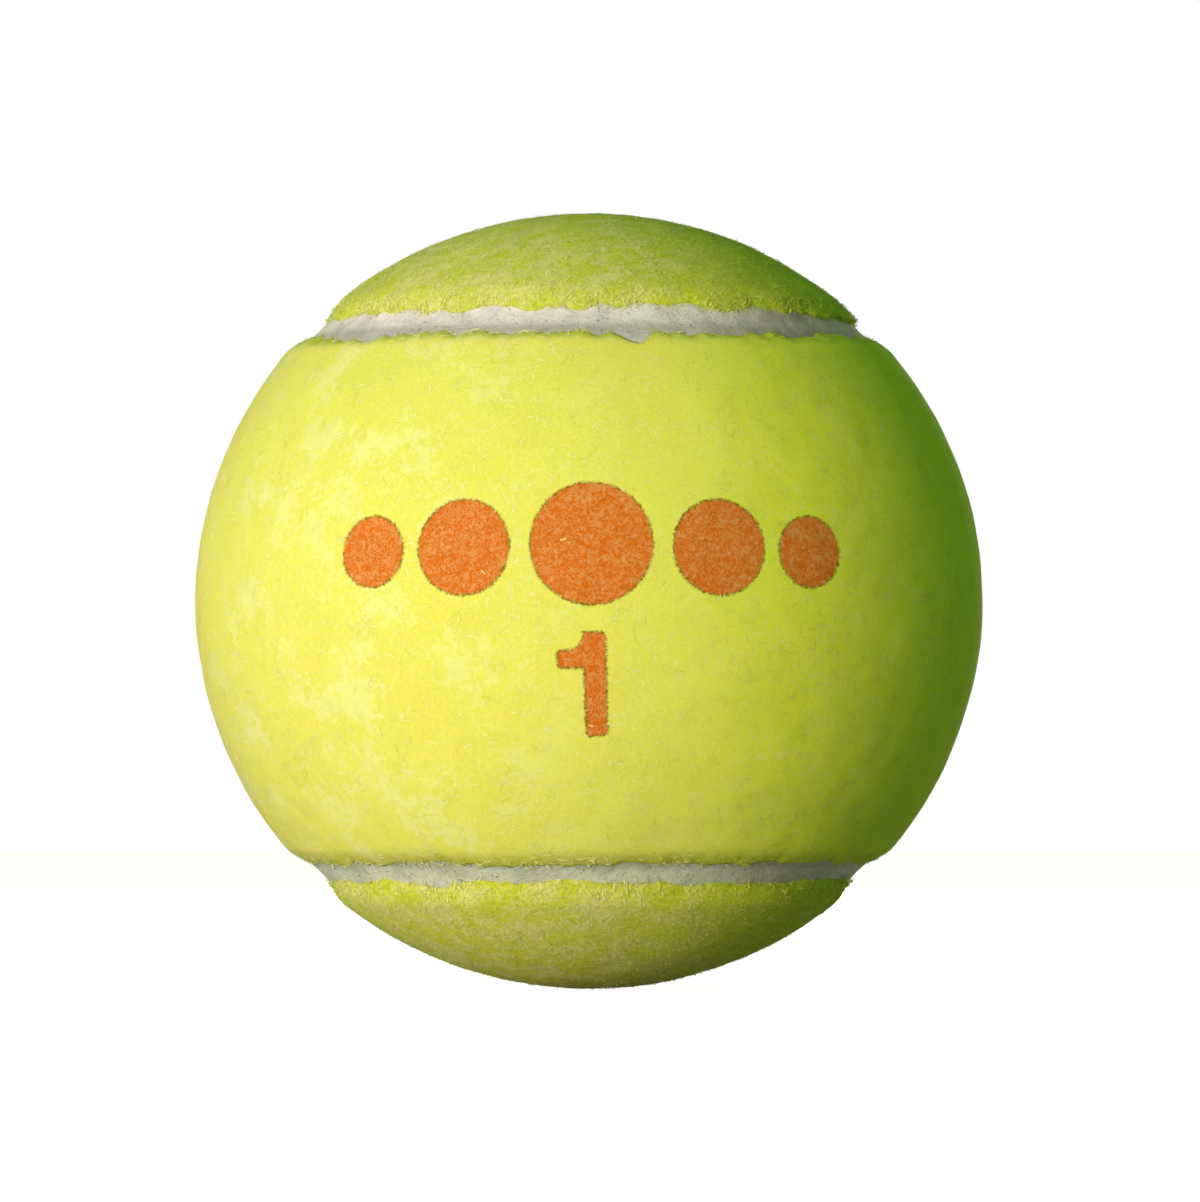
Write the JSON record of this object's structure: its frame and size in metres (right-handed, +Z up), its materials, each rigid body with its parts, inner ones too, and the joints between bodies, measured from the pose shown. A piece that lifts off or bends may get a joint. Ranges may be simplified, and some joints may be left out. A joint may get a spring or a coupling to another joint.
{
  "type": "tennis ball",
  "caption": "Hollow rubber ball covered by interlocking felt panels with a recessed pale rubber seam line, for playing tennis.",
  "frame": {"origin": "centre of the ball", "axes": "+Z up as the ball lies in the picture, the waist of the front felt panel faces -Y, +X to the right"},
  "size_m": [0.066, 0.066, 0.066],
  "materials": {
    "felt": "raised woollen nap, matte, yellow-green",
    "panel_cement": "thin dried rubber cement, dull",
    "seam_cement": "cured rubber, pale grey, matte and finely pitted",
    "core_rubber": "moulded filled rubber, matte, dark grey",
    "joint_cement": "cured rubber cement, dull"
  },
  "bodies": {
    "root": {"front_felt_panel": "felt", "back_felt_panel": "felt", "front_panel_cement": "panel_cement", "back_panel_cement": "panel_cement", "seam_cement": "seam_cement", "upper_core_half": "core_rubber", "lower_core_half": "core_rubber", "core_joint_cement": "joint_cement"}
  },
  "joints": []
}
